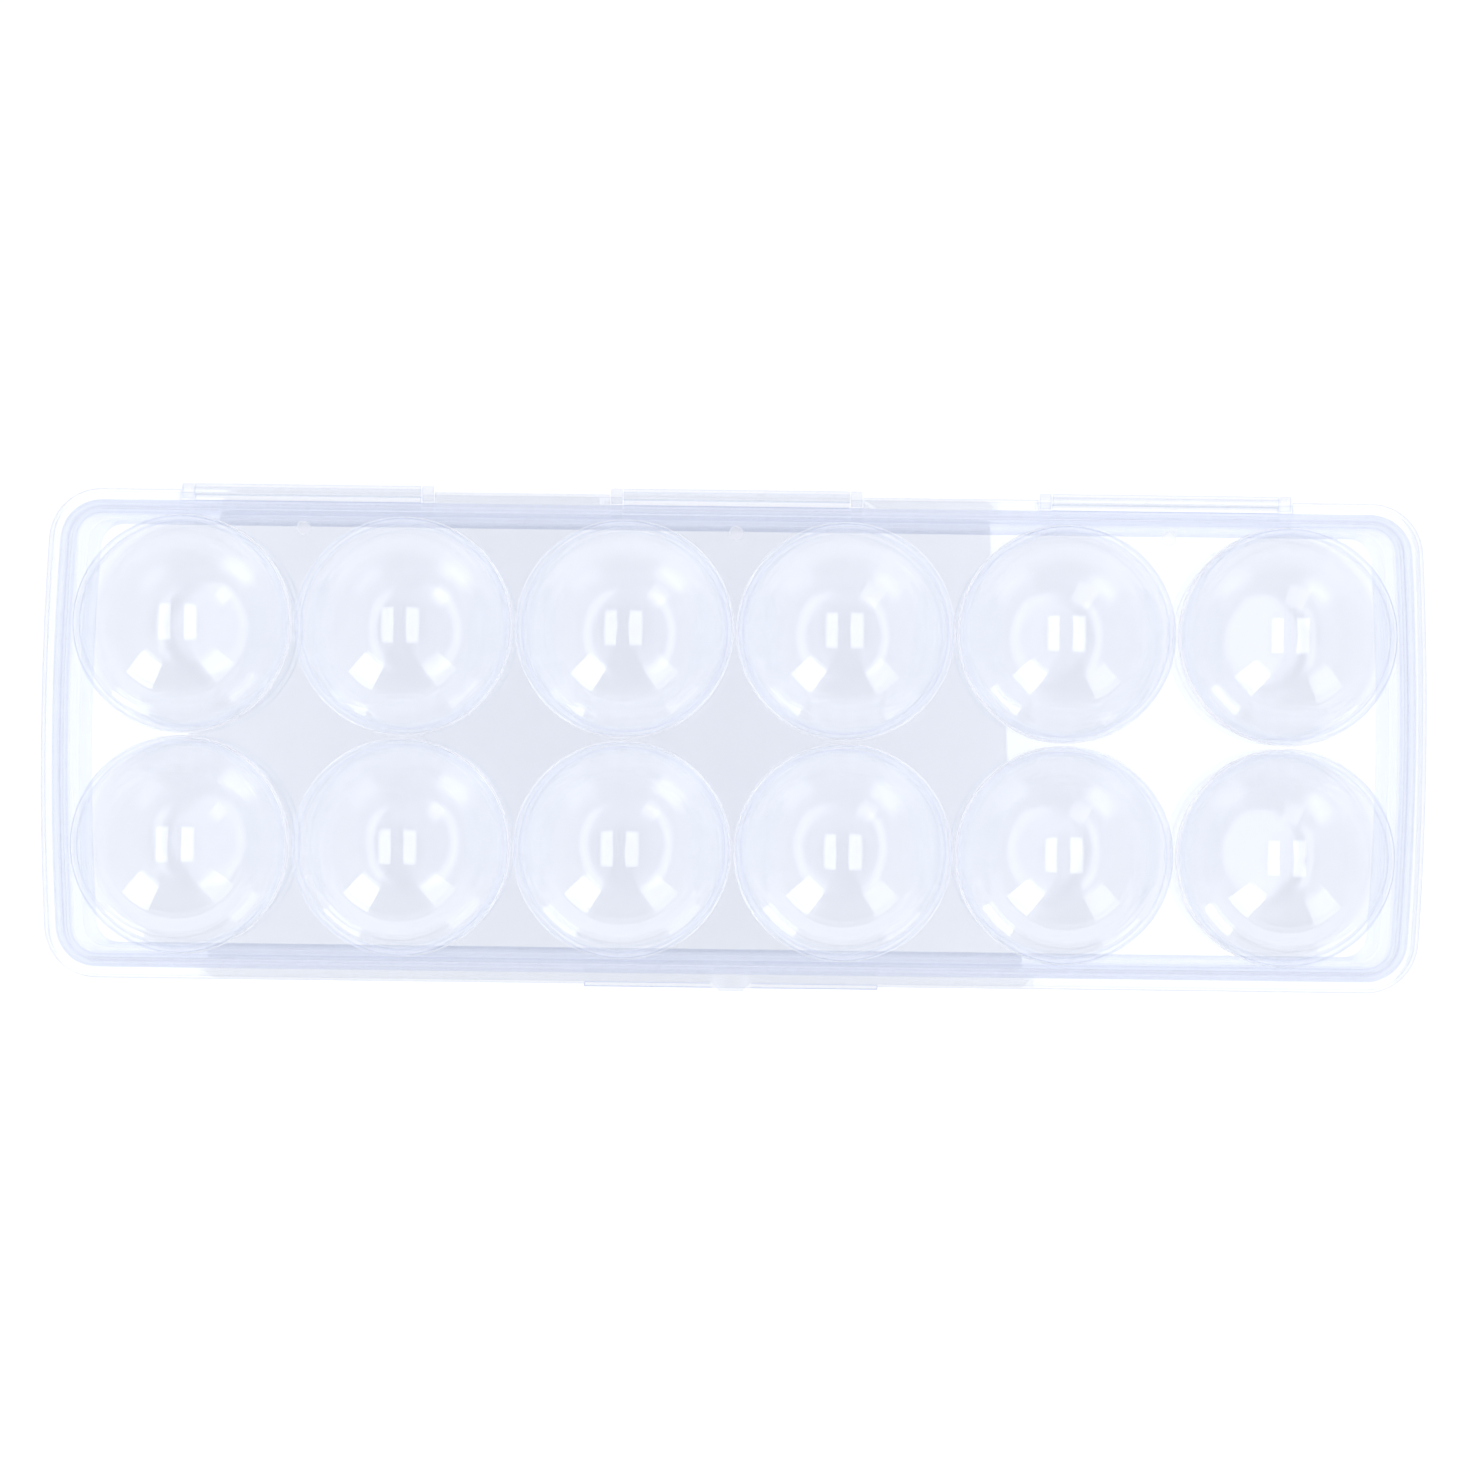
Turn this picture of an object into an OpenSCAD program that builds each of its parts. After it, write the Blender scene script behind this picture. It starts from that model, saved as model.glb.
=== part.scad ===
// Egg keeper with a flip lid: a clear tray with twelve cups, and a clear lid with twelve domes.
// Millimetres. X runs along the keeper, Y from the front lip to the hinge, Z up from the resting face.

/* [Egg places] */
// Distance from one egg place to the next
pitch = 50; // [49:0.5:60]
// Flat web between the feet of neighbouring domes
dome_web = 0.8; // [0.4:0.1:3]
// Flat web between the mouths of neighbouring cups
cup_web = 3.4; // [2.8:0.1:6]

/* [Lid] */
// Height of a dome above the lid's flat panel
dome_h = 21; // [16:0.5:30]
// Height of the rounded step round the foot of a dome
step_h = 9; // [5:0.5:12]
// Width of that step, from the foot in to the cap
step_w = 4.2; // [2:0.2:6]
// Thickness of the lid's panel and domes
lid_wall = 1.2; // [0.8:0.1:1.5]
// Height of the panel above the top of the lid's flange
lid_rise = 9.3; // [5:0.1:20]
// Thickness of the lid's flange
lid_flange_t = 1.5; // [1:0.1:2.5]

/* [Tray] */
// Height of the tray, from the resting face to the top of its flange
tray_h = 31; // [27:0.5:50]
// Height of the deck that the cups hang from
deck_z = 18; // [15:0.5:22]
// Thickness of the cups and the deck
cup_wall = 1.2; // [0.8:0.1:1.4]
// Radius of the flat floor of a cup
cup_floor_r = 8; // [5:0.5:12]
// Rounding of a cup's mouth
mouth_round = 0.8; // [0.3:0.1:1]
// Thickness of the outer wall
wall_t = 1.3; // [1:0.1:1.6]
// Thickness of the tray's flange
tray_flange_t = 1.5; // [1:0.1:2.5]
// How far the outer wall leans in from the flange to the resting face
wall_lean = 1; // [0.3:0.1:1.8]
// How far the outer wall's top edge stands above the flange, inside the lid
lip_h = 1.8; // [1:0.1:2]

/* [Outline] */
// Flat panel beyond the end domes, at each end
end_margin = 1; // [0.8:0.1:6]
// Width of the panel's edge that belongs to the rim
rim_edge = 0.6; // [0.4:0.1:2]
// How far the lid's skirt spreads at the ends, from the panel down to the flange
skirt_run_x = 4.2; // [2.6:0.1:8]
// How far the lid's skirt spreads at the long sides
skirt_run_y = 2.8; // [2.5:0.1:6]
// Width of the flange outside the skirt
flange_w = 2.5; // [2.1:0.1:4]
// Radius of the flange's corners
corner_r = 12; // [8:0.5:16]
// How far the ends bow out
end_bow = 2; // [0.5:0.1:4]

/* [Hinges] */
// Width of one hinge, across its two posts
hinge_w = 57.3; // [30:0.5:70]
// Distance from the middle hinge to the outer ones
hinge_span = 98; // [80:1:104]
// Width of a hinge post
post_w = 2.5; // [1.5:0.1:4]
// Radius of the bar that a clip turns on
bar_r = 0.9; // [0.8:0.05:1.1]
// Wall of a hinge clip round its bar
clip_wall = 0.72; // [0.6:0.01:1.1]
// Angle of the gap through which a clip snaps on to its bar
clip_gap_angle = 110; // [80:5:140]

/* [Front lip] */
// Width of the tongue that hangs over the tray's flange
tongue_w = 67; // [40:1:100]
// How far the tongue stands out from the lid's flange
tongue_out = 0.6; // [0.4:0.1:2]
// How far the tongue hangs below the lid's flange
tongue_drop = 2.8; // [1.6:0.1:6]
// Width of the tray's thumb nub where it leaves the flange
nub_w = 8.6; // [5:0.1:20]
// Width of the nub at its tip
nub_tip_w = 5.4; // [2:0.1:5]
// How far the nub stands out past the lid's flange
nub_out = 1.4; // [0.8:0.1:4]
// Diameter of the round moulding bosses under the panel
boss_d = 3.2; // [2:0.1:4]
// Distance from the panel's back edge to the middle of a boss
boss_inset = 3; // [2.4:0.1:4]

/* [Fits] */
// Gap between the two flanges when the lid is shut
seat_gap = 0.2; // [0.1:0.05:0.4]
// Gap between the tray's top edge and the lid's skirt around it
lip_gap = 0.5; // [0.3:0.1:0.8]
// Radial running clearance between a clip and its bar
bar_clearance = 0.08; // [0.02:0.01:0.1]
// Gap beside moving edges, at the posts and at the tongue
side_gap = 0.4; // [0.3:0.1:1]
// How much smaller the tray's flange is than the lid's, all round
flange_inset = 0.5; // [0.3:0.1:1]

/* [Hidden] */

columns = 6;
rows = 2;
cells_l = columns * pitch;
cells_w = rows * pitch;
curve_fn = 96;
slab = 0.01;
through = 1;

// Outlines, each as [length, width, corner radius]
panel = [cells_l + 2 * end_margin, cells_w, corner_r / 2];
crown = [panel[0] + 2 * rim_edge, panel[1] + 2 * rim_edge, panel[2] + rim_edge];
skirt = [crown[0] + 2 * skirt_run_x, crown[1] + 2 * skirt_run_y, corner_r - flange_w];
flange = [skirt[0] + 2 * flange_w, skirt[1] + 2 * flange_w, corner_r];

// Heights
lid_flange_z = tray_h + seat_gap;
skirt_z = lid_flange_z + lid_flange_t;
panel_z = skirt_z + lid_rise;
crown_round = lid_wall;
panel_lap = 0.4;

// Domes and cups
dome_r = (pitch - dome_web) / 2;
cup_r = (pitch - cup_web) / 2;

// Hinges
axis_y = flange[1] / 2 - flange_inset + 0.2;
axis_z = lid_flange_z + lid_flange_t / 2;
bore_r = bar_r + bar_clearance;
clip_r = bore_r + clip_wall;
knuckle_reach = clip_r + side_gap;
clip_gap_direction = -70;

function grown(shape, by) = [shape[0] + 2 * by, shape[1] + 2 * by, max(shape[2] + by, 1)];

// An arc without its last point, because the next arc starts there
function arc(x, y, r, from, to, steps) =
    [for (i = [0:steps - 1]) let (a = from + (to - from) * i / steps) [x + r * cos(a), y + r * sin(a)]];

// A rectangle with round corners whose two ends are shallow arcs that bow out
function outline(shape) =
    let (
        half_w = shape[1] / 2,
        r = shape[2],
        end_r = (half_w * half_w + end_bow * end_bow) / (2 * end_bow),
        end_x = shape[0] / 2 - end_r,
        corner_y = half_w - r,
        corner_x = end_x + sqrt(pow(end_r - r, 2) - corner_y * corner_y),
        turn = atan2(corner_y, corner_x - end_x)
    )
    concat(
        arc(end_x, 0, end_r, -turn, turn, 10),
        arc(corner_x, corner_y, r, turn, 90, 8),
        arc(-corner_x, corner_y, r, 90, 180 - turn, 8),
        arc(-end_x, 0, end_r, 180 - turn, 180 + turn, 10),
        arc(-corner_x, -corner_y, r, 180 + turn, 270, 8),
        arc(corner_x, -corner_y, r, 270, 360 - turn, 8)
    );

function ellipse_points(x, z, a, b, from, to, steps) =
    [for (i = [0:steps]) let (t = from + (to - from) * i / steps) [x + a * cos(t), z + b * sin(t)]];

// Half of a dome's section, from its foot to its top: a quarter ellipse up to the step, then a cap
function dome_curve(foot_r, drop) =
    let (
        cap_r = foot_r - step_w,
        cap_h = dome_h - step_h,
        sphere_r = (cap_r * cap_r + cap_h * cap_h) / (2 * cap_h),
        sphere_z = dome_h - sphere_r - drop,
        cap_start = asin((step_h - drop - sphere_z) / sphere_r)
    )
    concat(
        ellipse_points(cap_r, -drop, step_w, step_h, 0, 75, 6),
        ellipse_points(0, sphere_z, sphere_r, sphere_r, cap_start, 90, 14)
    );

// Half of a cup's section, from the axis out over the floor and up to the mouth
function cup_curve(floor_r, top_r, floor_z) =
    ellipse_points(floor_r, deck_z, top_r - floor_r, deck_z - floor_z, 270, 360, 12);

function backwards(points) = [for (i = [len(points) - 1:-1:0]) points[i]];

module slab_at(shape, z) {
    translate([0, 0, z]) linear_extrude(slab) polygon(outline(shape));
}

module prism(shape, z_low, z_high) {
    translate([0, 0, z_low]) linear_extrude(z_high - z_low) polygon(outline(shape));
}

// One rectangle of the grid, widened past the grid's edge where it is an outer one
module cell_square(column, row) {
    reach = pitch;
    x_low = (column - columns / 2) * pitch - (column == 0 ? reach : 0);
    x_high = (column + 1 - columns / 2) * pitch + (column == columns - 1 ? reach : 0);
    y_low = (row - rows / 2) * pitch - (row == 0 ? reach : 0);
    y_high = (row + 1 - rows / 2) * pitch + (row == rows - 1 ? reach : 0);
    translate([x_low, y_low]) square([x_high - x_low, y_high - y_low]);
}

module cell_plate(shape, column, row, z_low, z_high) {
    translate([0, 0, z_low]) linear_extrude(z_high - z_low) intersection() {
        polygon(outline(shape));
        cell_square(column, row);
    }
}

module at_cell(column, row) {
    translate([(column + 0.5 - columns / 2) * pitch, (row + 0.5 - rows / 2) * pitch, 0]) children();
}

// The lid

// A dome with its share of the flat panel
module lid_dome(column, row) {
    color("lavender", 0.5) union() {
        difference() {
            cell_plate(panel, column, row, panel_z - lid_wall, panel_z);
            at_cell(column, row) translate([0, 0, panel_z - lid_wall - through])
                cylinder(r = dome_r - lid_wall / 2, h = lid_wall + 2 * through, $fn = curve_fn);
        }
        at_cell(column, row) translate([0, 0, panel_z]) rotate_extrude($fn = curve_fn)
            polygon(concat(
                dome_curve(dome_r, 0),
                backwards(dome_curve(dome_r - lid_wall, lid_wall)),
                [[dome_r, -lid_wall]]
            ));
    }
}

// The skirt round the panel, rounded where it meets it, and the flange with its three slots
module lid_rim() {
    color("lavender", 0.5) difference() {
        union() {
            hull() {
                slab_at(skirt, skirt_z - lid_flange_t / 2);
                slab_at(grown(crown, crown_round * 0.8), panel_z - crown_round);
                slab_at(grown(crown, crown_round * 0.3), panel_z - crown_round * 0.3);
                slab_at(crown, panel_z - slab);
            }
            slotted_flange(flange, lid_flange_z, lid_flange_t, hinge_w + 2 * side_gap);
        }
        hull() {
            slab_at(grown(skirt, -lid_wall), lid_flange_z - through);
            slab_at(grown(skirt, -lid_wall), skirt_z);
            slab_at(grown(panel, -panel_lap), panel_z - lid_wall + panel_lap);
        }
        prism(panel, panel_z - lid_wall, panel_z + through);
    }
}

// A flange with a slot in its back edge for each hinge
module slotted_flange(shape, z, thickness, slot_w) {
    translate([0, 0, z]) linear_extrude(thickness) difference() {
        polygon(outline(shape));
        for (side = [-1:1]) translate([side * hinge_span - slot_w / 2, axis_y - knuckle_reach])
            square([slot_w, 3 * knuckle_reach]);
    }
}

// The hook that holds the lid on a bar: a tube with a gap, and the web that joins it to the flange
module hinge_clip(side) {
    clip_l = hinge_w - 2 * post_w - 2 * side_gap;
    color("lavender", 0.5) translate([side * hinge_span - clip_l / 2, axis_y, axis_z]) difference() {
        union() {
            rotate([90, 0, 90]) cylinder(r = clip_r, h = clip_l, $fn = curve_fn);
            translate([0, -knuckle_reach, -lid_flange_t / 2])
                cube([clip_l, knuckle_reach, lid_flange_t]);
        }
        translate([-through, 0, 0]) rotate([90, 0, 90])
            cylinder(r = bore_r, h = clip_l + 2 * through, $fn = curve_fn);
        translate([-through, 0, 0]) rotate([90, 0, 90]) linear_extrude(clip_l + 2 * through)
            polygon(concat([[0, 0]], [for (a = [-0.5, 0, 0.5])
                let (turn = clip_gap_direction + a * clip_gap_angle)
                3 * clip_r * [cos(turn), sin(turn)]]));
    }
}

// The tongue that hangs over the front of the tray's flange, with a notch for the nub
module lid_front_tongue() {
    front = -flange[1] / 2;
    notch_w = nub_w + 2 * side_gap;
    low = lid_flange_z - tongue_drop;
    color("lavender", 0.5) difference() {
        translate([-tongue_w / 2, 0, 0]) rotate([90, 0, 90]) linear_extrude(tongue_w) polygon([
            [front - tongue_out, low],
            [front + flange_inset / 2, low],
            [front + flange_inset / 2, lid_flange_z],
            [front, lid_flange_z],
            [front, skirt_z],
            [front - tongue_out, skirt_z]
        ]);
        translate([-notch_w / 2, front - 2 * tongue_out, low - through])
            cube([notch_w, 3 * tongue_out + flange_inset, tongue_drop + through + seat_gap / 2]);
    }
}

// Three small round bosses under the panel's back edge, left by the moulding
module lid_moulding_bosses() {
    color("lavender", 0.5) for (side = [-1:1])
        translate([side * hinge_span, panel[1] / 2 - boss_inset, panel_z - 2 * lid_wall])
            cylinder(d = boss_d, h = lid_wall, $fn = curve_fn);
}

// The tray

tray_flange = grown(flange, -flange_inset);
wall_top = grown(skirt, -lid_wall - lip_gap);

// The wall's outline at a height
function wall_at(z, by) = grown(wall_top, by - wall_lean * (1 - z / (tray_h + lip_h)));

deck = wall_at(deck_z, 0.3 - wall_t);

module wall_hull(by, z_low, z_high) {
    hull() {
        slab_at(wall_at(z_low, by), z_low);
        slab_at(wall_at(z_high, by), z_high - slab);
    }
}

// The outer wall and its flange, grooved where the deck's edge meets it
module tray_wall() {
    color("aliceblue", 0.5) difference() {
        union() {
            wall_hull(0, 0, tray_h + lip_h);
            slotted_flange(tray_flange, tray_h - tray_flange_t, tray_flange_t, hinge_w - 2 * post_w);
        }
        wall_hull(-wall_t, -through, tray_h + lip_h + through);
        prism(deck, deck_z - cup_wall, deck_z);
    }
}

// A cup with its share of the deck
module egg_cup(column, row) {
    color("aliceblue", 0.5) union() {
        difference() {
            cell_plate(deck, column, row, deck_z - cup_wall, deck_z);
            at_cell(column, row) translate([0, 0, deck_z - cup_wall - through])
                cylinder(r = cup_r + mouth_round, h = cup_wall + 2 * through, $fn = curve_fn);
        }
        at_cell(column, row) rotate_extrude($fn = curve_fn) polygon(concat(
            [[0, 0]],
            cup_curve(cup_floor_r, cup_r + cup_wall, 0),
            [[cup_r + mouth_round, deck_z], [cup_r + mouth_round * 0.3, deck_z - mouth_round * 0.3]],
            [[cup_r, deck_z - mouth_round]],
            backwards(ellipse_points(cup_floor_r, deck_z - mouth_round, cup_r - cup_floor_r,
                                     deck_z - mouth_round - cup_wall, 270, 352, 11)),
            [[0, cup_wall]]
        ));
    }
}

// A bar between two posts that stand on the tray's flange
module hinge_bar(side) {
    flange_edge = tray_flange[1] / 2 - axis_y;
    color("aliceblue", 0.5) translate([side * hinge_span, axis_y, axis_z]) {
        translate([-hinge_w / 2, 0, 0]) rotate([90, 0, 90])
            cylinder(r = bar_r, h = hinge_w, $fn = curve_fn);
        for (end = [0, 1]) mirror([end, 0, 0]) translate([-hinge_w / 2, 0, 0]) {
            difference() {
                rotate([90, 0, 90]) cylinder(r = clip_r, h = post_w, $fn = curve_fn);
                translate([-through, -2 * clip_r, tray_h - axis_z - 2 * clip_r])
                    cube([post_w + 2 * through, 2 * clip_r + flange_edge, 2 * clip_r]);
            }
            translate([0, -clip_r, tray_h - axis_z])
                cube([post_w, clip_r + flange_edge, axis_z - tray_h]);
        }
    }
}

// The nub that a thumb presses to part the tray from the lid
module tray_thumb_nub() {
    front = -tray_flange[1] / 2;
    reach = nub_out + flange_inset;
    color("aliceblue", 0.5) translate([0, 0, tray_h - tray_flange_t]) linear_extrude(tray_flange_t)
        polygon([
            [-nub_w / 2, front],
            [-nub_tip_w / 2, front - reach],
            [nub_tip_w / 2, front - reach],
            [nub_w / 2, front]
        ]);
}

tray_wall();
lid_rim();
lid_front_tongue();
lid_moulding_bosses();
tray_thumb_nub();
hinge_bar(-1);  // hinge_bar_left
hinge_bar(0);  // hinge_bar_centre
hinge_bar(1);  // hinge_bar_right
hinge_clip(-1);  // hinge_clip_left
hinge_clip(0);  // hinge_clip_centre
hinge_clip(1);  // hinge_clip_right
egg_cup(0, 0);  // egg_cup_01
egg_cup(1, 0);  // egg_cup_02
egg_cup(2, 0);  // egg_cup_03
egg_cup(3, 0);  // egg_cup_04
egg_cup(4, 0);  // egg_cup_05
egg_cup(5, 0);  // egg_cup_06
egg_cup(0, 1);  // egg_cup_07
egg_cup(1, 1);  // egg_cup_08
egg_cup(2, 1);  // egg_cup_09
egg_cup(3, 1);  // egg_cup_10
egg_cup(4, 1);  // egg_cup_11
egg_cup(5, 1);  // egg_cup_12
lid_dome(0, 0);  // lid_dome_01
lid_dome(1, 0);  // lid_dome_02
lid_dome(2, 0);  // lid_dome_03
lid_dome(3, 0);  // lid_dome_04
lid_dome(4, 0);  // lid_dome_05
lid_dome(5, 0);  // lid_dome_06
lid_dome(0, 1);  // lid_dome_07
lid_dome(1, 1);  // lid_dome_08
lid_dome(2, 1);  // lid_dome_09
lid_dome(3, 1);  // lid_dome_10
lid_dome(4, 1);  // lid_dome_11
lid_dome(5, 1);  // lid_dome_12
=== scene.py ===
# %% [markdown]
# # A clear egg keeper with a flip lid
# The keeper is two clear mouldings: a tray with twelve cups, and a lid with twelve domes that turns on
# three clips at the back. This script builds both as closed, thick-walled meshes from profiles in
# millimetres, gives them a clear polystyrene finish, and photographs them from straight above on white.

# %% [markdown]
# ## The frame
# The imported model gives the bodies, the hinge and the small hinge pieces. Everything here is built in
# its frame: the origin is on the resting face under the middle, +Y points to the hinge and +Z up.

# %% Load the frame
import math

import bmesh
import bpy
import numpy as np
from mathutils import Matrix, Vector
from mathutils.geometry import delaunay_2d_cdt


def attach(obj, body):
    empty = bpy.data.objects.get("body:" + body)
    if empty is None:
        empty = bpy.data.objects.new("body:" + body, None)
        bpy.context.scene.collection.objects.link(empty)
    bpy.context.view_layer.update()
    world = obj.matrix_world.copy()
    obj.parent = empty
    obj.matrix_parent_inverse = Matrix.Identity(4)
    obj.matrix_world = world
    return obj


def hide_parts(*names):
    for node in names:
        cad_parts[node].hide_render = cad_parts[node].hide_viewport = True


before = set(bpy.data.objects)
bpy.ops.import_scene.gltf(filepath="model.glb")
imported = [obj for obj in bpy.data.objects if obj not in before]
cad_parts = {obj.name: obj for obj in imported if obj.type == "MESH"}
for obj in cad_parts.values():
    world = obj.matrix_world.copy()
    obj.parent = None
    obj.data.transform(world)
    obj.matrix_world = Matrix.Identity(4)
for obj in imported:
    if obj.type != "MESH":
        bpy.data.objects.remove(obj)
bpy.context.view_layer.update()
MM = 0.001

# %% [markdown]
# ## Sizes
# The same sizes as the part's source, in millimetres, so that the pieces fit the frame. An outline is
# given by its length, its width and the radius of its corners; its two ends bow out by 2 mm.
#
# Seen from above, the cells are squares of 50 mm with a dome each. Seen from the side, the tray is
# 31 mm high, the panel of the lid lies at 42 mm, and the domes rise to 63 mm.

# %% Sizes
PITCH = 50.0
COLUMNS, ROWS = 6, 2
END_BOW = 2.0
# A dome: its radius at the foot, its height, and the width and height of the step it starts with
DOME_R, DOME_H, STEP_W, STEP_H = 24.6, 21.0, 4.2, 9.0
CUP_R, CUP_FLOOR_R, MOUTH_ROUND = 23.3, 8.0, 0.8
# Thickness of the lid and the cups, and how round the outer edges are
WALL = 1.2
EDGE_ROUND = 0.3
# Heights in the lid and in the tray
PANEL_Z, FLANGE_Z, FLANGE_T = 42.0, 31.2, 1.5
TRAY_H, DECK_Z, LIP_TOP, WALL_T = 31.0, 18.0, 32.8, 1.3
WALL_LEAN = 1.0
# The hinges, the tongue over the front edge and the thumb nub
HINGE_XS = (-98.0, 0.0, 98.0)
HINGE_W, POST_W, SIDE_GAP = 57.3, 2.5, 0.4
TONGUE_W, TONGUE_OUT, TONGUE_DROP = 67.0, 0.6, 2.8
NUB_W, NUB_TIP_W, NUB_OUT = 8.6, 5.4, 1.9
# How far back the slots in the flanges reach
NOTCH_Y = 53.45
BOSS_R, BOSS_Y, BOSS_H = 1.6, 47.0, 1.15

# Outlines: length, width and corner radius
CROWN = np.array([303.2, 101.2, 6.6])
SKIRT = np.array([311.6, 106.8, 9.5])
FLANGE = np.array([316.6, 111.8, 12.0])
TRAY_FLANGE = np.array([315.6, 110.8, 11.5])
WALL_TOP = np.array([308.2, 103.4, 7.8])
CENTRES = [((c + 0.5 - COLUMNS / 2) * PITCH, (r + 0.5 - ROWS / 2) * PITCH)
           for r in range(ROWS) for c in range(COLUMNS)]
print("cells:", len(CENTRES))

# %% [markdown]
# ## Tools for round-cornered outlines
# Every ring of the rim is the same outline at another size and height. All rings get the same number of
# points, at the same places, so that two rings can be joined by a strip of quads. On the long sides the
# points also stand at both edges of each slot, of the tongue and of the nub.

# %% Outline rings
SIDE_END, SIDE_STEP = 140.0, 4.0
EDGE_STEP = 0.03    # a slot's wall is this far from upright, so that no two points coincide
END_POINTS, CORNER_POINTS = 40, 16

def side_places():
    """The x places of the points on a long side: every 4 mm, and both edges of each slot and tab."""
    places = set(np.round(np.arange(-SIDE_END, SIDE_END + 0.1, SIDE_STEP), 3))
    for x in HINGE_XS:
        for half in (HINGE_W / 2 + SIDE_GAP, HINGE_W / 2 - POST_W):
            places |= {x - half - EDGE_STEP, x - half, x + half, x + half + EDGE_STEP}
    for half in (TONGUE_W / 2, NUB_W / 2 + SIDE_GAP):
        places |= {-half - EDGE_STEP, -half, half, half + EDGE_STEP}
    places |= {-NUB_W / 2, -NUB_TIP_W / 2, NUB_TIP_W / 2, NUB_W / 2}
    return np.array(sorted(places))

SIDE_X = side_places()

def ring(shape, z):
    """
    The outline of a shape at height z, as points in millimetres. An end is an arc of radius
    (w*w + b*b) / (2*b), where w is half the width and b the bow. A corner is an arc of the shape's
    radius r that touches the end's arc and the straight side.
    """
    half_l, half_w, r = shape[0] / 2, shape[1] / 2, shape[2]
    end_r = (half_w ** 2 + END_BOW ** 2) / (2 * END_BOW)
    end_x = half_l - end_r
    corner_y = half_w - r
    corner_x = end_x + math.sqrt((end_r - r) ** 2 - corner_y ** 2)
    turn = math.atan2(corner_y, corner_x - end_x)
    t = np.linspace(-turn, turn, END_POINTS + 1)[:-1]
    end = np.stack([end_x + end_r * np.cos(t), end_r * np.sin(t)], 1)
    t = np.linspace(turn, math.pi / 2, CORNER_POINTS + 1)[:-1]
    corner = np.stack([corner_x + r * np.cos(t), corner_y + r * np.sin(t)], 1)
    side = np.stack([SIDE_X[::-1], np.full(len(SIDE_X), half_w)], 1)
    side = np.vstack([[corner_x, half_w], side, [-corner_x, half_w]])
    back_corner = corner[::-1] * [-1, 1]
    left_end = end * [-1, -1]
    front_corner = corner * [-1, -1]
    front_side = side[::-1] * [1, -1]
    last_corner = corner[::-1] * [1, -1]
    plane = np.vstack([end, corner, side, back_corner,
                       left_end, front_corner, front_side, last_corner])
    return np.column_stack([plane, np.full(len(plane), z)])

def rounded(stations, radii, steps=5):
    """
    Rounds the corners of a polyline of stations (length, width, corner radius, z). Each corner becomes
    a quadratic curve, (1-t)^2 a + 2 t (1-t) corner + t^2 b, whose ends a and b lie one radius away,
    or nearly halfway to the next station where that is nearer.
    """
    stations = [np.asarray(s, float) for s in stations]
    out = [stations[0]]
    for i in range(1, len(stations) - 1):
        here = stations[i]
        ends = []
        for other in (stations[i - 1], stations[i + 1]):
            way = other - here
            reach = math.hypot(way[1] / 2, way[3])
            ends.append(here + way * min(0.48, radii[i] / reach))
        if radii[i] == 0:
            out.append(here)
            continue
        for t in np.linspace(0, 1, steps):
            out.append((1 - t) ** 2 * ends[0] + 2 * t * (1 - t) * here + t ** 2 * ends[1])
    return out + [stations[-1]]

def grown(shape, by):
    """A shape made larger by the same amount all round."""
    return shape + np.array([2 * by, 2 * by, by])

def station(shape, z):
    """An outline and its height, as one row of four numbers."""
    return np.append(shape, z)

print("points in a ring:", len(ring(CROWN, 0)))

# %% [markdown]
# ## Tools for closed meshes
# A sheet is a flat plate with round holes; a turned skin closes a hole with a dome, a cup or a small
# disc; a band joins the rings of the rim. All of them meet at shared points, which are then merged, so
# that the moulding comes out as one closed skin with its normals outwards.

# %% Mesh builder
SEGMENTS = 72
CIRCLE = np.linspace(0, 2 * math.pi, SEGMENTS, endpoint=False)
SHARP = math.radians(40)    # edges that turn by more than this stay sharp

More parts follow.
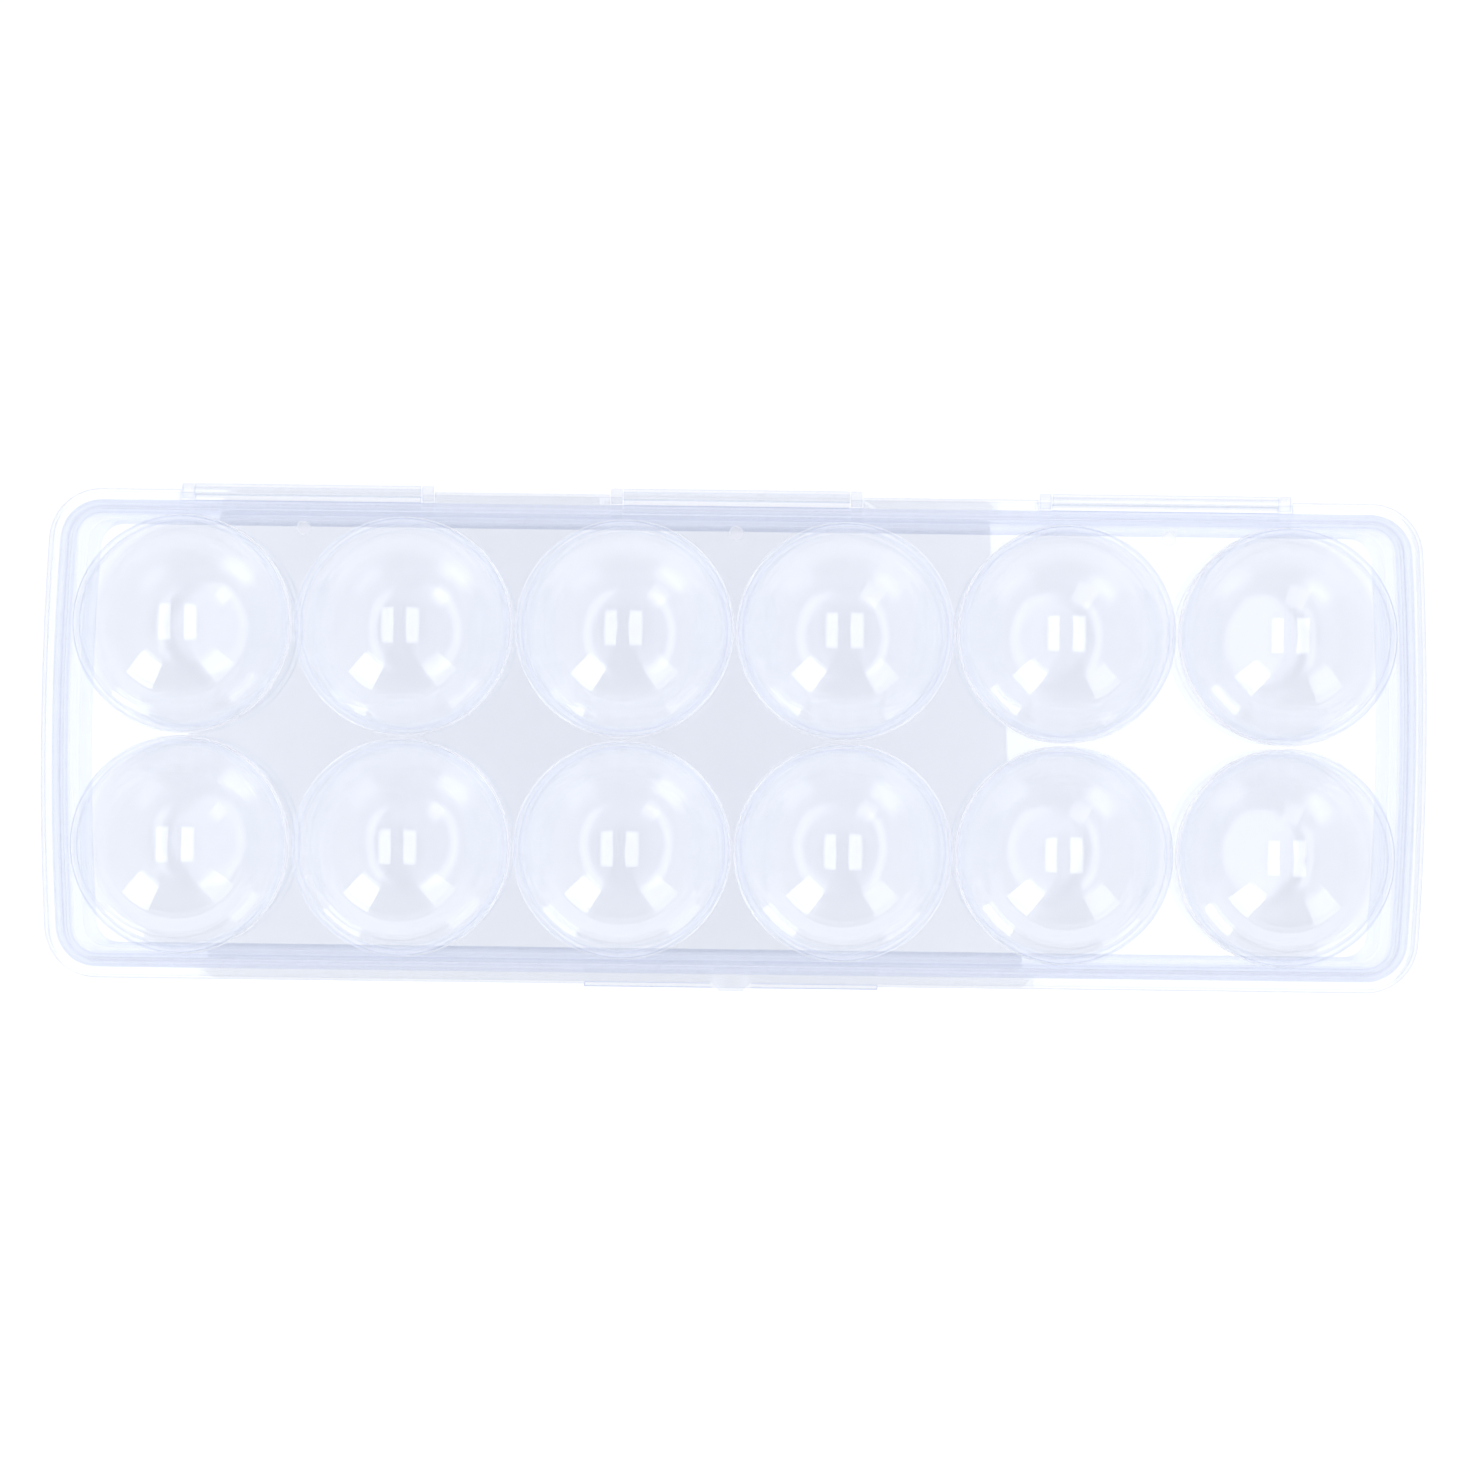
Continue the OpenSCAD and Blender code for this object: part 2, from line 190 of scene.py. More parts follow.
class Skin:
    """Points and faces of one moulding, gathered piece by piece in millimetres."""

    def __init__(self):
        self.points, self.faces = [], []
        self.count = 0

    def add(self, points, faces):
        """Adds points, and faces that count from the first of them."""
        self.points.append(points)
        self.faces += (faces + self.count).tolist()
        self.count += len(points)

    def band(self, rings):
        """Joins each ring of n points to the next by a strip of n quads."""
        n = len(rings[0])
        start, i = np.divmod(np.arange((len(rings) - 1) * n), n)
        start, j = start * n, (i + 1) % n
        self.add(np.vstack(rings), np.stack([start + i, start + j, start + n + j, start + n + i], 1))

    def turned(self, centre, profile):
        """
        A skin of revolution: point (r, z) of the profile becomes (x + r cos a, y + r sin a, z) for
        every angle a. The profile's last point lies on the axis.
        """
        x, y = centre
        r, z = np.array(profile).T
        grid = np.stack([x + np.outer(r, np.cos(CIRCLE)), y + np.outer(r, np.sin(CIRCLE)),
                         np.repeat(z[:, None], SEGMENTS, 1)], 2)
        self.band(grid[:-1])
        # The last ring and the point on the axis, joined by triangles
        i = np.arange(SEGMENTS)
        fan = np.stack([i, np.roll(i, -1), np.full(SEGMENTS, SEGMENTS)], 1)
        self.add(np.vstack([grid[-2], grid[-1, :1]]), fan)

    def sheet(self, outline_ring, z, holes):
        """
        A flat plate at height z inside an outline and outside round holes (x, y, r). It is cut into
        triangles that keep every edge of the loops, and those whose middle lies in a hole are left out.
        """
        loops = [outline_ring[:, :2]]
        for x, y, r in holes:
            loops.append(np.column_stack([x + r * np.cos(CIRCLE), y + r * np.sin(CIRCLE)]))
        edges, start = [], 0
        for loop in loops:
            here = np.arange(start, start + len(loop))
            edges += np.column_stack([here, np.roll(here, -1)]).tolist()
            start += len(loop)
        corners = [Vector(corner) for corner in np.vstack(loops).tolist()]
        corners, _, faces, _, _, _ = delaunay_2d_cdt(corners, edges, [], 0, 1e-7)
        points, faces = np.array(corners), np.array(faces)
        middle = points[faces].mean(axis=1)
        inside = points_inside(middle, loops[0])
        # A hole of straight chords is nearest to its middle halfway along one of them
        nearest = math.cos(math.pi / SEGMENTS)
        for x, y, r in holes:
            inside &= np.hypot(middle[:, 0] - x, middle[:, 1] - y) > r * nearest - 1e-6
        self.add(np.column_stack([points, np.full(len(points), z)]), faces[inside])

    def build(self, name):
        """The finished object: shared points merged, normals outwards, smooth but for sharp corners."""
        mesh = bpy.data.meshes.new(name)
        mesh.from_pydata((np.vstack(self.points) * MM).tolist(), [], self.faces)
        work = bmesh.new()
        work.from_mesh(mesh)
        bmesh.ops.remove_doubles(work, verts=work.verts, dist=2e-6)
        bmesh.ops.dissolve_degenerate(work, edges=work.edges, dist=1e-7)
        loose = [v for v in work.verts if not v.link_faces]
        bmesh.ops.delete(work, geom=loose, context="VERTS")
        bmesh.ops.recalc_face_normals(work, faces=work.faces)
        open_edges = sum(1 for e in work.edges if len(e.link_faces) != 2)
        volume = work.calc_volume() / MM ** 3
        work.to_mesh(mesh)
        work.free()
        mesh.shade_smooth()
        mesh.set_sharp_from_angle(angle=SHARP)
        obj = bpy.data.objects.new(name, mesh)
        bpy.context.collection.objects.link(obj)
        print(name, "faces:", len(mesh.polygons), "open edges:", open_edges,
              "volume in cm3:", round(volume / 1000, 1))
        return obj

def points_inside(points, loop):
    """Which points lie inside a closed loop: a ray to the right crosses it an odd number of times."""
    x, y = points.T
    x1, y1 = loop.T[:, :, None]
    x2, y2 = np.roll(loop, -1, axis=0).T[:, :, None]
    crosses = (y1 > y) != (y2 > y)
    with np.errstate(divide="ignore", invalid="ignore"):
        at = x1 + (y - y1) * (x2 - x1) / (y2 - y1)
    return (crosses & (x < at)).sum(axis=0) % 2 == 1

# %% [markdown]
# ## The sections of a dome and a cup
# A dome starts with a small fillet at the panel, rises over a rounded step and then follows a sphere to
# the top. The step is most of a quarter of an ellipse. The crease between step and sphere is softened
# by averaging neighbouring points, as the polished steel of the mould would. A cup is a quarter of an
# ellipse too, from a rounded mouth down to a flat floor.
#
# Blender could spin such a curve, or a Screw modifier could. Here the rings are computed, because they
# have to meet the points of the sheet's holes exactly for the moulding to close.

# %% Dome and cup profiles
def soften(points, times, keep_ends=2):
    """Each point moves to the mean of itself, twice, and its two neighbours; the ends stay."""
    points = np.array(points, float)
    for _ in range(times):
        mean = (points[:-2] + 2 * points[1:-1] + points[2:]) / 4
        points[keep_ends:-keep_ends] = mean[keep_ends - 1:len(mean) - keep_ends + 1]
    return points

def evenly(points, count):
    """The same curve with its points evenly spaced along it."""
    points = np.array(points, float)
    run = np.concatenate([[0], np.cumsum(np.hypot(*np.diff(points, axis=0).T))])
    at = np.linspace(0, run[-1], count)
    return np.column_stack([np.interp(at, run, points[:, 0]), np.interp(at, run, points[:, 1])])

def dome_profile(foot_r, drop, fillet):
    """
    From the panel in to the axis: a fillet of the given radius, then the step
    r = cap_r + STEP_W cos t, z = STEP_H sin t, then the sphere through the step's end and the top.
    """
    base = PANEL_Z - drop
    cap_r, cap_h = foot_r - STEP_W, DOME_H - STEP_H
    sphere_r = (cap_r ** 2 + cap_h ** 2) / (2 * cap_h)
    sphere_z = base + DOME_H - sphere_r
    t = np.radians(np.linspace(0, 72, 30))
    step = np.column_stack([cap_r + STEP_W * np.cos(t), base + STEP_H * np.sin(t)])
    t = np.linspace(math.asin((base + STEP_H - sphere_z) / sphere_r), math.pi / 2, 60)
    cap = np.column_stack([sphere_r * np.cos(t), sphere_z + sphere_r * np.sin(t)])
    step[0, 1] = base + fillet
    above_fillet = np.concatenate([[True], step[1:, 1] > base + fillet + 0.1])
    body = soften(evenly(np.vstack([step[above_fillet], cap]), 42), 3)
    t = np.radians(np.linspace(90, 0, 5))
    foot = np.column_stack([foot_r + fillet * (1 - np.cos(t)), base + fillet * (1 - np.sin(t))])
    start = [[foot_r + fillet + 0.08, base]]
    profile = np.vstack([start, foot[:-1], body])
    profile[-1, 0] = 0.0
    return profile

def cup_profile(mouth_r, floor_r, mouth_z, floor_z, mouth_round):
    """
    From the deck in to the axis: a rounded mouth, then a quarter of an ellipse down to the flat floor,
    r = floor_r + a cos t, z = mouth_z - b sin t.
    """
    a, b = mouth_r - floor_r, mouth_z - mouth_round - floor_z
    t = np.radians(np.linspace(0, 90, 60))
    wall = np.column_stack([floor_r + a * np.cos(t), mouth_z - mouth_round - b * np.sin(t)])
    wall = evenly(wall, 26)
    floor = [[floor_r * k, floor_z] for k in (0.92, 0.8, 0.5, 0)]
    t = np.radians(np.linspace(90, 0, 6))
    mouth = np.column_stack([mouth_r + mouth_round * (1 - np.cos(t)),
                             mouth_z - mouth_round * (1 - np.sin(t))])
    start = [[mouth_r + mouth_round + 0.05, mouth_z]]
    return np.vstack([start, mouth[:-1], wall, floor])

outer_dome = dome_profile(DOME_R, 0, 0.22)
inner_dome = dome_profile(DOME_R - WALL, WALL, 0.4)
inner_cup = cup_profile(CUP_R, CUP_FLOOR_R, DECK_Z, WALL, MOUTH_ROUND)
outer_cup = cup_profile(CUP_R + WALL, CUP_FLOOR_R, DECK_Z - WALL, 0.0, 0.1)
print("dome rises to", outer_dome[-1][1], "mm; its wall at the top:",
      round(outer_dome[-1][1] - inner_dome[-1][1], 2), "mm")

# %% [markdown]
# ## The lid
# The lid is one injection moulding of clear polystyrene, about 1.2 mm thick. The panel carries the
# domes; its edge rolls over into a steep skirt, and a flange runs round the foot of the skirt. The
# flange has three slots at the back, where the hinge clips sit, and a tongue at the front that hangs
# over the tray's flange and is cut away around the thumb nub.
#
# The rim could be a box with bevels, but then its walls would not join the holes of the domes. It is a
# list of rings instead, which goes once round the section, from the panel over the flange and back up
# the inside, so that the moulding is closed by the way it is made.

# %% Build the lid
HAIR = 0.001    # makes a comparison hold for points that stand right on an edge

def turns(*degrees):
    """The sine and the cosine of each angle."""
    return [(math.sin(math.radians(a)), math.cos(math.radians(a))) for a in degrees]

def in_slots(points, slot_w):
    """Which points of a flange ring lie in one of the three slots at the back."""
    x, y = points[:, 0], points[:, 1]
    near = np.min([np.abs(x - hinge_x) for hinge_x in HINGE_XS], axis=0)
    return (near <= slot_w / 2 + HAIR) & (y > NOTCH_Y)

def shape_lid_ring(points, out, down):
    """
    Moves a flange ring's points where the outline has a feature: the three slots at the back pull them
    in to the skirt; the tongue at the front pushes them out, and down by the given amount.
    """
    points = points.copy()
    points[in_slots(points, HINGE_W + 2 * SIDE_GAP), 1] = NOTCH_Y
    x, y = points[:, 0], points[:, 1]
    tongue = (np.abs(x) <= TONGUE_W / 2 + HAIR) & (y < 0)
    points[tongue, 1] -= out
    beside_nub = np.abs(x) <= NUB_W / 2 + SIDE_GAP + HAIR
    points[tongue & ~beside_nub, 2] -= down
    return points

def build_lid():
    """The rings of the rim, a sheet for each side of the panel, and a skin for each dome and boss."""
    skin = Skin()
    inner_foot, inner_top = grown(SKIRT, -WALL), grown(CROWN, -0.9)
    strip, under_strip = grown(CROWN, -0.4), grown(inner_top, -0.5)
    under = PANEL_Z - WALL
    # From the panel's edge over the roll and down the skirt
    skirt = rounded([station(strip, PANEL_Z), station(grown(CROWN, -0.2), PANEL_Z),
                     station(grown(CROWN, 0.35), PANEL_Z), station(SKIRT, FLANGE_Z + FLANGE_T)],
                    [0, 0, 1.5, 0], 9)
    rings = [ring(s[:3], s[3]) for s in skirt]
    # The flange: out over its top, round its edge, and back along its underside
    top, soft = FLANGE_Z + FLANGE_T, EDGE_ROUND
    stations = [(grown(SKIRT, 0.2), top - 0.02, 0, 0), (grown(FLANGE, -soft), top, TONGUE_OUT, 0)]
    stations += [(grown(FLANGE, soft * (s - 1)), top + soft * (c - 1), TONGUE_OUT, 0)
                 for s, c in turns(30, 60, 90)]
    stations += [(FLANGE, FLANGE_Z + soft, TONGUE_OUT, TONGUE_DROP),
                 (grown(FLANGE, -0.1), FLANGE_Z + 0.08, TONGUE_OUT, TONGUE_DROP),
                 (grown(FLANGE, -0.2), FLANGE_Z, 0.1, TONGUE_DROP),
                 (grown(FLANGE, -0.26), FLANGE_Z, 0, TONGUE_DROP),
                 (grown(FLANGE, -0.3), FLANGE_Z, 0, 0)]
    rings += [shape_lid_ring(ring(s, z), out, down) for s, z, out, down in stations]
    # Up inside the skirt to the underside of the panel
    inside = rounded([station(grown(inner_foot, 0.6), FLANGE_Z), station(inner_foot, FLANGE_Z),
                      station(inner_top, under), station(under_strip, under),
                      station(grown(under_strip, -0.1), under)], [0, 0.3, 0.9, 0, 0], 5)
    rings += [ring(s[:3], s[3]) for s in inside]
    skin.band(rings)
    skin.sheet(rings[0], PANEL_Z, [(x, y, outer_dome[0][0]) for x, y in CENTRES])
    bosses = [(x, BOSS_Y, BOSS_R) for x in HINGE_XS]
    skin.sheet(rings[-1], under, [(x, y, inner_dome[0][0]) for x, y in CENTRES] + bosses)
    for centre in CENTRES:
        skin.turned(centre, outer_dome)
        skin.turned(centre, inner_dome)
    tip = under - BOSS_H
    for x, y, r in bosses:
        skin.turned((x, y), [(r, under), (r - 0.05, tip + 0.25), (r - 0.3, tip), (0, tip)])
    return skin.build("clear_lid")

lid = build_lid()

# %% [markdown]
# ## The tray
# The tray is the second moulding. A deck carries the twelve cups, whose flat floors stand on the shelf.
# The wall runs from the shelf up past the deck, and its top edge reaches into the lid. The flange on
# its outside meets the lid's flange; a small nub at the front gives the thumb something to press. It is
# made the same way as the lid, by one list of rings for the rim and two sheets for the deck.

# %% Build the tray
def shape_tray_ring(points):
    """
    Moves a flange ring's points: at the back the flange is slotted between the posts of each hinge, and
    at the front the nub stands out over a width that shrinks from 8.6 to 5.4 mm.
    """
    points = points.copy()
    points[in_slots(points, HINGE_W - 2 * POST_W), 1] = NOTCH_Y
    x, y = points[:, 0], points[:, 1]
    front = (y < 0) & (np.abs(x) < NUB_W / 2)
    share = np.clip((NUB_W / 2 - np.abs(x)) / (NUB_W / 2 - NUB_TIP_W / 2), 0, 1)
    points[front, 1] -= NUB_OUT * share[front]
    return points

def tray_wall(z, by):
    """The wall's outline at a height: it leans in by 1 mm from the top edge down to the shelf."""
    return grown(WALL_TOP, by - WALL_LEAN * (1 - z / LIP_TOP))

def build_tray():
    """The rings of the wall and the flange, a sheet for each side of the deck, and the cups."""
    skin = Skin()
    deck_edge, under = tray_wall(DECK_Z, -WALL_T), DECK_Z - WALL
    # From the deck's edge up the inside, over the lip and down to the flange
    rings = [ring(s[:3], s[3]) for s in rounded(
        [station(grown(deck_edge, -0.62), DECK_Z), station(grown(deck_edge, -0.5), DECK_Z),
         station(deck_edge, DECK_Z), station(tray_wall(LIP_TOP, -WALL_T), LIP_TOP),
         station(tray_wall(LIP_TOP, 0), LIP_TOP), station(tray_wall(TRAY_H, 0), TRAY_H),
         station(tray_wall(TRAY_H, 0.5), TRAY_H - 0.02)],
        [0, 0, 0.4, 0.5, 0.5, 0.3, 0], 5)]
    # The flange: round its edge, from its top to its underside
    top, low, soft = TRAY_H - 0.02, TRAY_H - FLANGE_T, EDGE_ROUND
    quarter = turns(0, 30, 60, 90)
    stations = [(grown(TRAY_FLANGE, soft * (s - 1)), top + soft * (c - 1)) for s, c in quarter]
    stations += [(grown(TRAY_FLANGE, soft * (c - 1)), low + soft * (1 - s)) for s, c in quarter]
    rings += [shape_tray_ring(ring(s, z)) for s, z in stations]
    # Down the outside to the shelf, and up the inside to the underside of the deck
    rings += [ring(s[:3], s[3]) for s in rounded(
        [station(tray_wall(low, 0.5), low), station(tray_wall(low, 0), low),
         station(tray_wall(0, 0), 0), station(tray_wall(0, -WALL_T), 0),
         station(tray_wall(under, -WALL_T), under),
         station(grown(tray_wall(under, -WALL_T), -0.12), under)],
        [0, 0.3, 0.5, 0.4, 0, 0], 5)]
    skin.band(rings)
    skin.sheet(rings[0], DECK_Z, [(x, y, inner_cup[0][0]) for x, y in CENTRES])
    skin.sheet(rings[-1], under, [(x, y, outer_cup[0][0]) for x, y in CENTRES])
    for centre in CENTRES:
        skin.turned(centre, inner_cup)
        skin.turned(centre, outer_cup)
    return skin.build("clear_tray")

tray = build_tray()

# %% [markdown]
# ## Clear plastic with a little haze
# Egg keepers are moulded in clear plastic, polystyrene or polypropylene, with a faint cool tint. Light
# passes four skins or more on its way to the table, and each does three things. It mirrors about 4 %,
# and more where it is seen at a low angle. It scatters some 7 % in a pale haze, which half hides the
# tray under the lid. It lets the rest pass.
#
# Glass-like refraction would be the first thing to try. Here the walls are thin and parallel, so the
# light is hardly bent on its way, and a mix of Transparent, haze and gloss gives a calmer picture in
# less time. Shadow rays pass almost unweakened, because light that a clear piece bends aside still
# reaches the table around it.
#
# A slow bump stands for the warp of the cooling plastic, and the gloss varies with a fine grain of
# handling marks.

# %% The finish
def linear(code):
    """A colour written as sRGB hex, in linear light."""
    values = [int(code[i:i + 2], 16) / 255 for i in (1, 3, 5)]
    return [v / 12.92 if v <= 0.04045 else ((v + 0.055) / 1.055) ** 2.4 for v in values] + [1.0]

def node(tree, kind, inputs=None, **settings):
    """Adds a shader node, sets its properties, and links or sets its inputs."""
    made = tree.nodes.new(kind)
    for key, value in settings.items():
        setattr(made, key, value)
    for key, value in (inputs or {}).items():
        if isinstance(value, bpy.types.NodeSocket):
            tree.links.new(value, made.inputs[key])
        else:
            made.inputs[key].default_value = value
    return made

IOR = 1.5                            # polypropylene has 1.49 and polystyrene 1.59
WARP_WAVE, WARP_RISE = 71.43, 3.0    # mm: the length of a wave, and its height at full strength
MARK_GRAIN = 1.111                   # mm: real marks are finer, but this is what the render can show
EDGE_ON = 6.0                        # power that keeps the deeper tint to skins seen edge on

def clear_plastic(name, tint, edge_tint, haze_colour, haze, roughness):
    """
    Clear plastic. tint colours what passes a skin face on, edge_tint what passes it edge on. haze is
    the share that is scattered, in haze_colour. roughness has the gloss's least and greatest value.
    """
    material = bpy.data.materials.new(name)
    material.use_nodes = True
    tree = material.node_tree
    tree.nodes.clear()
    place = node(tree, "ShaderNodeTexCoord").outputs["Object"]
    slow = node(tree, "ShaderNodeTexNoise",
                {"Vector": place, "Scale": 1 / (WARP_WAVE * MM), "Detail": 0.0})
    fine = node(tree, "ShaderNodeTexNoise",
                {"Vector": place, "Scale": 1 / (MARK_GRAIN * MM), "Detail": 2.0})
    rough = node(tree, "ShaderNodeMapRange",
                 {"Value": fine.outputs["Fac"], "To Min": roughness[0], "To Max": roughness[1]})
    warp = node(tree, "ShaderNodeBump",
                {"Height": slow.outputs["Fac"], "Strength": 0.3, "Distance": WARP_RISE * MM})
    normal = warp.outputs["Normal"]
    # The way through the plastic gets longer as the skin turns edge on, so the tint deepens
    turn = node(tree, "ShaderNodeLayerWeight", {"Blend": 0.5}).outputs["Facing"]
    deeper = node(tree, "ShaderNodeMath", {0: turn, 1: EDGE_ON}, operation="POWER").outputs[0]
    colour = node(tree, "ShaderNodeMix", {"Factor": deeper, 6: linear(tint), 7: linear(edge_tint)},
                  data_type="RGBA")
    passing = node(tree, "ShaderNodeBsdfTransparent", {"Color": colour.outputs[2]})
    # Half of the haze goes back to the side it came from, and half goes through
    pale = {"Color": linear(haze_colour), "Normal": normal}
    scatter = node(tree, "ShaderNodeBsdfDiffuse", pale)
    through = node(tree, "ShaderNodeBsdfTranslucent", pale)
    milk = node(tree, "ShaderNodeMixShader", {0: 0.5, 1: scatter.outputs[0], 2: through.outputs[0]})
    body = node(tree, "ShaderNodeMixShader", {0: haze, 1: passing.outputs[0], 2: milk.outputs[0]})
    # The mirror share is that of a skin met from outside, on both of its sides
    behind = node(tree, "ShaderNodeNewGeometry").outputs["Backfacing"]
    index = node(tree, "ShaderNodeMapRange", {"Value": behind, "To Min": IOR, "To Max": 1 / IOR})
    share = node(tree, "ShaderNodeFresnel", {"IOR": index.outputs["Result"], "Normal": normal})
    sheen = node(tree, "ShaderNodeMix", {"Factor": deeper, 6: (1, 1, 1, 1), 7: linear(edge_tint)},
                 data_type="RGBA")
    gloss = node(tree, "ShaderNodeBsdfAnisotropic",
                 {"Color": sheen.outputs[2], "Normal": normal, "Roughness": rough.outputs["Result"]})
    plastic = node(tree, "ShaderNodeMixShader",
                   {0: share.outputs[0], 1: body.outputs[0], 2: gloss.outputs[0]})
    # Light on its way to a lamp or off a matt face sees only a faint tint
    path = node(tree, "ShaderNodeLightPath").outputs
    either = node(tree, "ShaderNodeMath", {0: path["Is Shadow Ray"], 1: path["Is Diffuse Ray"]},
                  operation="MAXIMUM")
    light_through = node(tree, "ShaderNodeBsdfTransparent", {"Color": linear("#fcfcfe")})
    mixed = node(tree, "ShaderNodeMixShader",
                 {0: either.outputs[0], 1: plastic.outputs[0], 2: light_through.outputs[0]})
    node(tree, "ShaderNodeOutputMaterial", {"Surface": mixed.outputs[0]})
    return material

CLEAR, PALE_HAZE, HAZE = "#fcfdfe", "#f3f6fb", 0.07
POLISHED, SATIN = (0.0, 0.01), (0.1, 0.2)

# The lid's mould is polished steel: the lamps show in it as sharp bars, and it is blue edge on
lid_plastic = clear_plastic("clear_moulded_plastic_lid", CLEAR, "#b4c0e6", PALE_HAZE, HAZE, POLISHED)
# The tray's mould has a satin finish, so its gloss is soft and it stays behind the lid
tray_plastic = clear_plastic("clear_moulded_plastic_tray", CLEAR, "#dce2f4", PALE_HAZE, HAZE, SATIN)
# Domes and cups draw thin as the plastic runs into them: their sides are paler than the rim's
thin_plastic = clear_plastic("clear_plastic_thin_dome", CLEAR, "#e6ebf8", PALE_HAZE, HAZE, POLISHED)
thin_cup = clear_plastic("clear_plastic_thin_cup", CLEAR, "#f4f6fc", PALE_HAZE, HAZE, SATIN)
# The tight fillet at a dome's foot and the small bosses get a white scattering haze, a painted
# highlight: it shows as white lines in place of the bright lines that light mirrored and bent at these
# edges gives
painted_highlight = clear_plastic("painted_highlight_white_edge", CLEAR, CLEAR, "#ffffff", 0.55, SATIN)
print("materials:", [material.name for material in bpy.data.materials])

# %% [markdown]
# ## Which faces are thin or carry a painted highlight
# A moulding is one piece, so it is one mesh here, and each of its faces points to one of the piece's
# materials. The faces are chosen by their place: inside a dome or a cup they are thin, and at the foot
# of a dome and on a boss they get a white haze, a painted highlight in place of these edges' bright
# lines.

# %% Put the plastic on
def wears(obj, *materials):
    """Gives a piece its materials, in the order that its faces count them."""
    obj.data.materials.clear()
    for material in materials:
        obj.data.materials.append(material)

def face_middles(obj):
    """The middle of each face in mm, and its distance from the nearest dome's axis."""
    middles = np.empty(3 * len(obj.data.polygons))
    obj.data.polygons.foreach_get("center", middles)
    middles = middles.reshape(-1, 3) / MM
    x, y = middles[:, 0], middles[:, 1]
    return middles, np.min([np.hypot(x - cx, y - cy) for cx, cy in CENTRES], axis=0)

PLAIN, THIN, PAINTED_HIGHLIGHT = 0, 1, 2
FOOT_BAND, FOOT_H = 0.35, 3.0    # mm: half the width and the height of the painted highlight band at the foot

wears(lid, lid_plastic, thin_plastic, painted_highlight)
middles, away = face_middles(lid)
height = middles[:, 2] - PANEL_Z
finish = np.where((away < DOME_R - 0.02) & (height > -WALL - 0.02), THIN, PLAIN)
# Painted highlight: a white haze band round each dome's foot
finish[(np.abs(away - DOME_R) < FOOT_BAND) & (height > 0.01) & (height < FOOT_H)] = PAINTED_HIGHLIGHT
# Painted highlight: a white haze ring on the underside of each boss
beside_boss = np.min([np.abs(middles[:, 0] - x) for x in HINGE_XS], axis=0) < BOSS_R + 0.1
beside_boss &= np.abs(middles[:, 1] - BOSS_Y) < BOSS_R + 0.1
finish[beside_boss & (height < -WALL - 0.02) & (height > -WALL - 1.5)] = PAINTED_HIGHLIGHT
lid.data.polygons.foreach_set("material_index", finish.astype(np.int32))
print("lid faces that are plain, thin and frosted:",
      [int((finish == kind).sum()) for kind in (PLAIN, THIN, PAINTED_HIGHLIGHT)])

wears(tray, tray_plastic, thin_cup)
middles, away = face_middles(tray)
finish = np.where((away < CUP_R + WALL + 0.1) & (middles[:, 2] < DECK_Z - 0.001), THIN, PLAIN)
tray.data.polygons.foreach_set("material_index", finish.astype(np.int32))
print("tray faces that are plain and thin:", [int((finish == kind).sum()) for kind in (PLAIN, THIN)])

for side in ("left", "centre", "right"):
    wears(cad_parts["hinge_clip_" + side], lid_plastic)
    wears(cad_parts["hinge_bar_" + side], tray_plastic)

# %% [markdown]
# ## Which piece stands for which node
# The lid's mesh rides on the lid's body and stands for all its nodes but the hinge clips; the tray's
# mesh does the same for the tray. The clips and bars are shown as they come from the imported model,
# where they already have their true round faces.

# %% Ride and replace
numbers = ["%02d" % (i + 1) for i in range(len(CENTRES))]
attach(lid, "lid")
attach(tray, "tray")
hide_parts("lid_rim", "lid_front_tongue", "lid_moulding_bosses", *["lid_dome_" + n for n in numbers])
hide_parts("tray_wall", "tray_thumb_nub", *["egg_cup_" + n for n in numbers])

# %% [markdown]
# ## White table, soft light
# The keeper stands on an evenly lit white table under two long ceiling panels. They mirror in the flat
# ends of the lid, and as two bars on each dome. Windows at the front left and right make the patches
# low on each dome, with the darker front of the room between them. A small warm lamp stands close
# behind the right half, so its mirror image is large on the near domes and small on the far ones.
#
# The room is darkest straight above, where the camera is, and gets lighter towards the walls. That
# makes the flat panel of the lid grey, and the sides of the domes light.

# %% Stage and lights
TABLE_HALF = 6.0     # m: half its side, so that its edge is out of the picture
TABLE_DROP = 0.05    # mm: a hair under the resting face, so that the two don't coincide

def white_table():
    """White laminate, matt, with a glow of its own that lifts it to the white of a studio."""
    mesh = bpy.data.meshes.new("table")
    s = TABLE_HALF
    mesh.from_pydata([(-s, -s, 0), (s, -s, 0), (s, s, 0), (-s, s, 0)], [], [(0, 1, 2, 3)])
    table = bpy.data.objects.new("table", mesh)
    bpy.context.collection.objects.link(table)
    table.location.z = -TABLE_DROP * MM
    material = bpy.data.materials.new("white_laminate")
    material.use_nodes = True
    shader = material.node_tree.nodes["Principled BSDF"]
    shader.inputs["Base Color"].default_value = linear("#e7e7e7")
    shader.inputs["Roughness"].default_value = 0.6
    shader.inputs["Specular IOR Level"].default_value = 0.0
    shader.inputs["Emission Color"].default_value = linear("#ffffff")
    shader.inputs["Emission Strength"].default_value = 0.355
    mesh.materials.append(material)

def panel_light(name, centre, size, target, radiance, colour=(1, 1, 1)):
    """A rectangular lamp that faces its target. Its power is pi times radiance times area."""
    light = bpy.data.lights.new(name, "AREA")
    light.shape = "RECTANGLE"
    light.size, light.size_y = size
    light.energy = math.pi * radiance * size[0] * size[1]
    light.color = colour
    lamp = bpy.data.objects.new(name, light)
    bpy.context.collection.objects.link(lamp)
    lamp.location = centre
    lamp.rotation_euler = (Vector(target) - Vector(centre)).to_track_quat("-Z", "Y").to_euler()

def around(azimuth, elevation, distance):
    """A point at an angle round the keeper, 0 along +X and 90 along +Y, and above the table."""
    a, e = math.radians(azimuth), math.radians(elevation)
    return (distance * math.cos(e) * math.cos(a), distance * math.cos(e) * math.sin(a),
            distance * math.sin(e) + 0.04)

